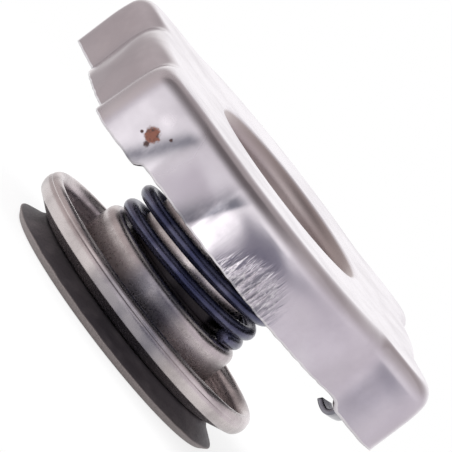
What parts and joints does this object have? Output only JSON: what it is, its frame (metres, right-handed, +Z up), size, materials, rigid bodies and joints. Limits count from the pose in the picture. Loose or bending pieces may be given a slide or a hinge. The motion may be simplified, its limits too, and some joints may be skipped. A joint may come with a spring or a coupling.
{
  "type": "radiator cap",
  "caption": "Pressed-steel radiator pressure cap with lobed grip ears, dished top, coil spring on a bell, dished valve plate with rubber gasket and a vacuum valve.",
  "frame": {"origin": "on the cap's axis, at the underside of the pressure gasket, on which the cap can stand", "axes": "+Z up along the cap's axis, from the gasket to the top face; X along the middles of the two ears"},
  "size_m": [0.0586, 0.0572, 0.0299],
  "materials": {
    "plated_steel": "bright plated, lightly worn",
    "warm_steel": "satin, slightly brown",
    "spring_steel": "satin",
    "blue_steel": "blued, semi-gloss",
    "black_rubber": "matte",
    "seal_rubber": "matte",
    "brass": "satin"
  },
  "bodies": {
    "cap": {"cap_shell": "plated_steel"},
    "carrier": {"neck_disc": "spring_steel", "neck_seal": "seal_rubber", "bell": "warm_steel", "centre_rivet": "plated_steel", "rivet_washer": "spring_steel", "pressure_spring": "blue_steel"},
    "pressure_valve": {"spring_cup": "warm_steel", "valve_plate": "warm_steel", "pressure_gasket": "black_rubber", "clamp_plate": "warm_steel", "vacuum_spring": "spring_steel"},
    "vacuum_valve": {"vacuum_disc": "brass", "vacuum_seal": "seal_rubber", "stem_washer": "brass"}
  },
  "joints": [
    {"name": "rivet_swivel", "type": "hinge", "parent": "cap", "child": "carrier", "pos_m": [0, 0, 0.0249], "axis": [0, 0, 1], "continuous": true},
    {"name": "pressure_lift", "type": "slide", "parent": "carrier", "child": "pressure_valve", "axis": [0, 0, 1], "range_m": [0, 0.004], "stiffness_N_per_m": 600, "springref_m": -0.005, "deforming": ["pressure_spring"]},
    {"name": "vacuum_open", "type": "slide", "parent": "pressure_valve", "child": "vacuum_valve", "axis": [0, 0, -1], "range_m": [0, 0.002], "stiffness_N_per_m": 60, "springref_m": -0.004, "deforming": ["vacuum_spring"]}
  ]
}
